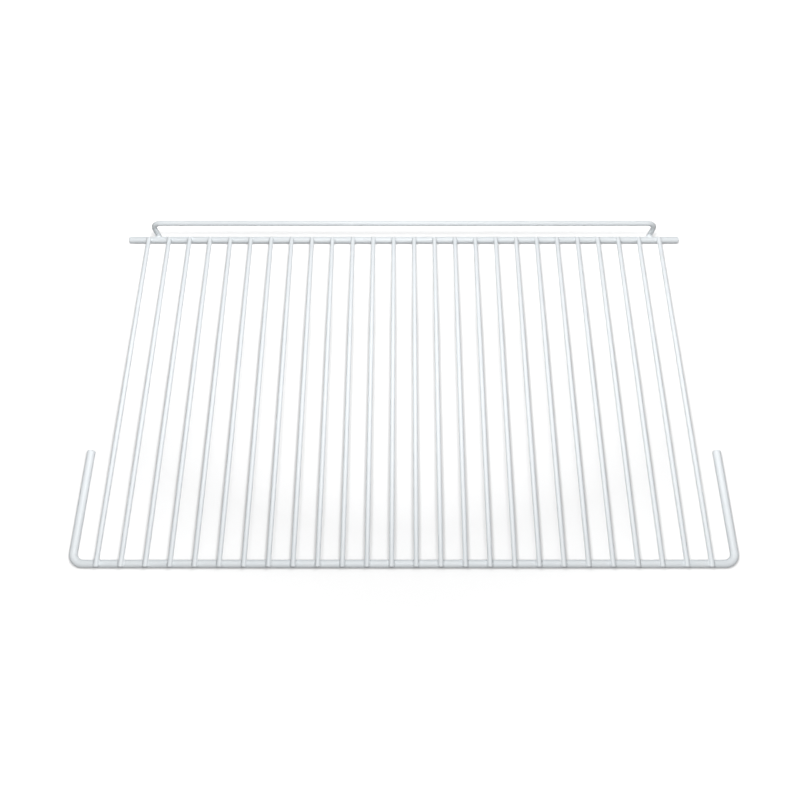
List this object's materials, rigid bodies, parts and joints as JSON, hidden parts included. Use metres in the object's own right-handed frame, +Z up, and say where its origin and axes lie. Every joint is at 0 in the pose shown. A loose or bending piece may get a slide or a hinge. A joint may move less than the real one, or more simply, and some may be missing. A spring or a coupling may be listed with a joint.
{
  "type": "refrigerator wire shelf",
  "caption": "White coated wire shelf for a refrigerator: straight wires welded across a front rod with open side arms and a rear rod, with a raised stop wire at the back.",
  "frame": {"origin": "centre of the shelf's outline on the plane that its rods rest on", "axes": "+X across the shelf to the right seen from the front, +Y from the front rod to the back, +Z up"},
  "size_m": [0.4676, 0.2756, 0.0225],
  "materials": {
    "white_coating": "satin"
  },
  "bodies": {
    "root": {"front_rod": "white_coating", "rear_rod": "white_coating", "rear_stop_wire": "white_coating", "fill_wire_01": "white_coating", "fill_wire_02": "white_coating", "fill_wire_03": "white_coating", "fill_wire_04": "white_coating", "fill_wire_05": "white_coating", "fill_wire_06": "white_coating", "fill_wire_07": "white_coating", "fill_wire_08": "white_coating", "fill_wire_09": "white_coating", "fill_wire_10": "white_coating", "fill_wire_11": "white_coating", "fill_wire_12": "white_coating", "fill_wire_13": "white_coating", "fill_wire_14": "white_coating", "fill_wire_15": "white_coating", "fill_wire_16": "white_coating", "fill_wire_17": "white_coating", "fill_wire_18": "white_coating", "fill_wire_19": "white_coating", "fill_wire_20": "white_coating", "fill_wire_21": "white_coating", "fill_wire_22": "white_coating", "fill_wire_23": "white_coating", "fill_wire_24": "white_coating", "fill_wire_25": "white_coating", "fill_wire_26": "white_coating"}
  },
  "joints": []
}
